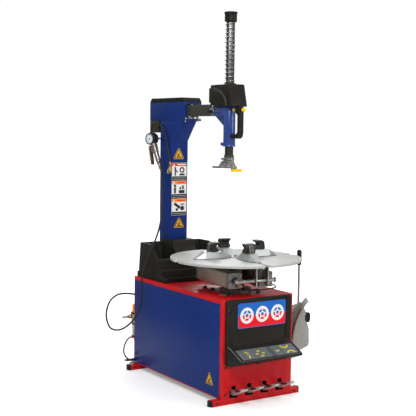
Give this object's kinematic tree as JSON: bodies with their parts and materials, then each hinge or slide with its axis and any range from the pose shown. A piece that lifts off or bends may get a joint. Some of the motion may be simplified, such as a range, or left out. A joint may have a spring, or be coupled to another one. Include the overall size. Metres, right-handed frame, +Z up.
{
  "type": "tyre changer",
  "caption": "Swing-arm tyre changer: red and blue cabinet, slotted turntable with clamp jaws, pillar with a sprung hexagonal shaft, bead breaker, pedals and tyre inflator.",
  "frame": {"origin": "centre of the front foot beam's underside, on the floor", "axes": "+X to the operator's right, +Y from the operator to the back, +Z up"},
  "size_m": [0.7959, 1.1354, 1.939],
  "materials": {
    "red_paint": "gloss red powder coat",
    "blue_paint": "gloss dark blue powder coat",
    "black_plastic": "moulded black plastic",
    "black_metal": "satin black paint",
    "yellow_plastic": "yellow plastic",
    "orange_plastic": "orange plastic",
    "rubber": "black rubber",
    "table_grey": "light grey painted plate",
    "steel": "bright steel",
    "cast_iron": "grey casting",
    "cast_aluminium": "cast aluminium",
    "aluminium": "drawn aluminium",
    "brass": "dull brass"
  },
  "bodies": {
    "root": {"front_foot_beam": "red_paint", "rear_foot_beam": "red_paint", "cabinet_shell": "red_paint", "left_side_panel": "blue_paint", "front_console": "black_plastic", "tool_tray": "black_plastic", "wheel_support_pad": "rubber", "pedal_axle": "steel", "gearbox": "cast_iron", "drive_motor": "cast_aluminium", "drive_belt": "rubber", "pillar": "blue_paint", "head_box": "blue_paint", "head_cap": "black_plastic", "swing_pivot_pin": "steel", "breaker_cylinder": "aluminium", "air_regulator": "aluminium", "pressure_gauge": "rubber", "inflator_gun": "cast_aluminium", "air_chuck": "brass", "supply_hose": "rubber", "delivery_hose": "rubber", "drain_hose": "rubber"},
    "turntable": {"turntable_disc": "table_grey", "turntable_hub": "steel"},
    "front_slide": {"jaw_slide_front": "steel", "jaw_front": "black_metal", "clamp_yoke": "steel"},
    "rear_slide": {"jaw_slide_rear": "steel", "jaw_rear": "black_metal", "clamp_cylinder_left": "aluminium", "clamp_cylinder_right": "aluminium"},
    "left_slide": {"jaw_slide_left": "steel", "jaw_left": "black_metal"},
    "right_slide": {"jaw_slide_right": "steel", "jaw_right": "black_metal"},
    "gearbox_pulley": {"gearbox_pulley": "cast_iron"},
    "motor_pulley": {"motor_pulley": "cast_iron"},
    "swing_arm": {"swing_arm": "black_metal", "shaft_sleeve": "blue_paint", "shaft_cover": "black_plastic", "lock_handle": "black_plastic", "shaft_spring": "steel"},
    "lock_button": {"lock_button": "yellow_plastic"},
    "stop_knob": {"stop_knob": "steel"},
    "shaft": {"hex_shaft": "steel", "shaft_top_cap": "black_plastic", "mount_head": "cast_iron", "mount_head_insert": "yellow_plastic"},
    "pedal_1": {"pedal_1": "cast_aluminium"},
    "pedal_2": {"pedal_2": "cast_aluminium"},
    "pedal_3": {"pedal_3": "cast_aluminium"},
    "pedal_4": {"pedal_4": "cast_aluminium"},
    "breaker_arm": {"breaker_arm": "blue_paint", "breaker_blade": "steel", "breaker_handle": "steel", "breaker_grip": "black_plastic"},
    "breaker_rod": {"breaker_rod": "steel"},
    "inflator_trigger": {"inflator_trigger": "brass"},
    "regulator_knob": {"regulator_knob": "orange_plastic"}
  },
  "joints": [
    {"name": "turntable_spin", "type": "hinge", "parent": "root", "child": "turntable", "pos_m": [0, 0.1785, 0.689], "axis": [0, 0, 1], "continuous": true},
    {"name": "front_slide_travel", "type": "slide", "parent": "turntable", "child": "front_slide", "axis": [-0.1132, -0.9936, 0], "range_m": [0, 0.09]},
    {"name": "rear_slide_travel", "type": "slide", "parent": "turntable", "child": "rear_slide", "axis": [0.1132, 0.9936, 0], "range_m": [0, 0.09]},
    {"name": "left_slide_travel", "type": "slide", "parent": "turntable", "child": "left_slide", "axis": [-0.9936, 0.1132, 0], "range_m": [0, 0.09]},
    {"name": "right_slide_travel", "type": "slide", "parent": "turntable", "child": "right_slide", "axis": [0.9936, -0.1132, 0], "range_m": [0, 0.09]},
    {"name": "gearbox_pulley_spin", "type": "hinge", "parent": "root", "child": "gearbox_pulley", "pos_m": [-0.13, 0.1785, 0.43], "axis": [1, 0, 0], "continuous": true},
    {"name": "motor_pulley_spin", "type": "hinge", "parent": "root", "child": "motor_pulley", "pos_m": [-0.13, 0.42, 0.27], "axis": [1, 0, 0], "continuous": true},
    {"name": "swing_arm_hinge", "type": "hinge", "parent": "root", "child": "swing_arm", "pos_m": [0, 0.62, 1.443], "axis": [0, 0, 1], "range_deg": [0, 88]},
    {"name": "shaft_travel", "type": "slide", "parent": "swing_arm", "child": "shaft", "axis": [0, 0, -1], "range_m": [0, 0.26], "stiffness_N_per_m": 500, "springref_m": -0.35, "deforming": ["shaft_spring"]},
    {"name": "lock_button_travel", "type": "slide", "parent": "swing_arm", "child": "lock_button", "axis": [0, 1, 0], "range_m": [0, 0.005]},
    {"name": "stop_knob_turn", "type": "hinge", "parent": "swing_arm", "child": "stop_knob", "pos_m": [-0.0303, 0.367, 1.434], "axis": [1, 0, 0], "continuous": true},
    {"name": "pedal_1_hinge", "type": "hinge", "parent": "root", "child": "pedal_1", "pos_m": [-0.141, 0.12, 0.062], "axis": [1, 0, 0], "range_deg": [-4, 5], "stiffness_Nm_per_rad": 60, "springref_deg": -0.34},
    {"name": "pedal_2_hinge", "type": "hinge", "parent": "root", "child": "pedal_2", "pos_m": [-0.047, 0.12, 0.062], "axis": [1, 0, 0], "range_deg": [0, 5], "stiffness_Nm_per_rad": 10, "springref_deg": -8.59},
    {"name": "pedal_3_hinge", "type": "hinge", "parent": "root", "child": "pedal_3", "pos_m": [0.047, 0.12, 0.062], "axis": [1, 0, 0], "range_deg": [0, 5], "stiffness_Nm_per_rad": 10, "springref_deg": -8.59},
    {"name": "pedal_4_hinge", "type": "hinge", "parent": "root", "child": "pedal_4", "pos_m": [0.141, 0.12, 0.062], "axis": [1, 0, 0], "range_deg": [0, 5], "stiffness_Nm_per_rad": 10, "springref_deg": -8.59},
    {"name": "breaker_arm_hinge", "type": "hinge", "parent": "root", "child": "breaker_arm", "pos_m": [0.27, 0.78, 0.355], "axis": [0, 0, 1], "range_deg": [0, 50]},
    {"name": "breaker_rod_travel", "type": "slide", "parent": "root", "child": "breaker_rod", "axis": [1, 0, 0], "range_m": [0, 0.115]},
    {"name": "inflator_trigger_hinge", "type": "hinge", "parent": "root", "child": "inflator_trigger", "pos_m": [-0.078, 0.929, 1.238], "axis": [1, 0, 0], "range_deg": [-10, 0], "stiffness_Nm_per_rad": 0.5, "springref_deg": 17.19},
    {"name": "regulator_knob_turn", "type": "hinge", "parent": "root", "child": "regulator_knob", "pos_m": [-0.172, 0.905, 0.33], "axis": [0, 0, 1], "continuous": true}
  ],
  "couplings": [
    {"joint": "rear_slide_travel", "follows": "front_slide_travel", "ratio": 1},
    {"joint": "left_slide_travel", "follows": "front_slide_travel", "ratio": 1},
    {"joint": "right_slide_travel", "follows": "front_slide_travel", "ratio": 1},
    {"joint": "gearbox_pulley_spin", "follows": "turntable_spin", "ratio": 20},
    {"joint": "motor_pulley_spin", "follows": "turntable_spin", "ratio": 36.8},
    {"joint": "breaker_rod_travel", "follows": "breaker_arm_hinge", "m_per_rad": 0.127}
  ]
}
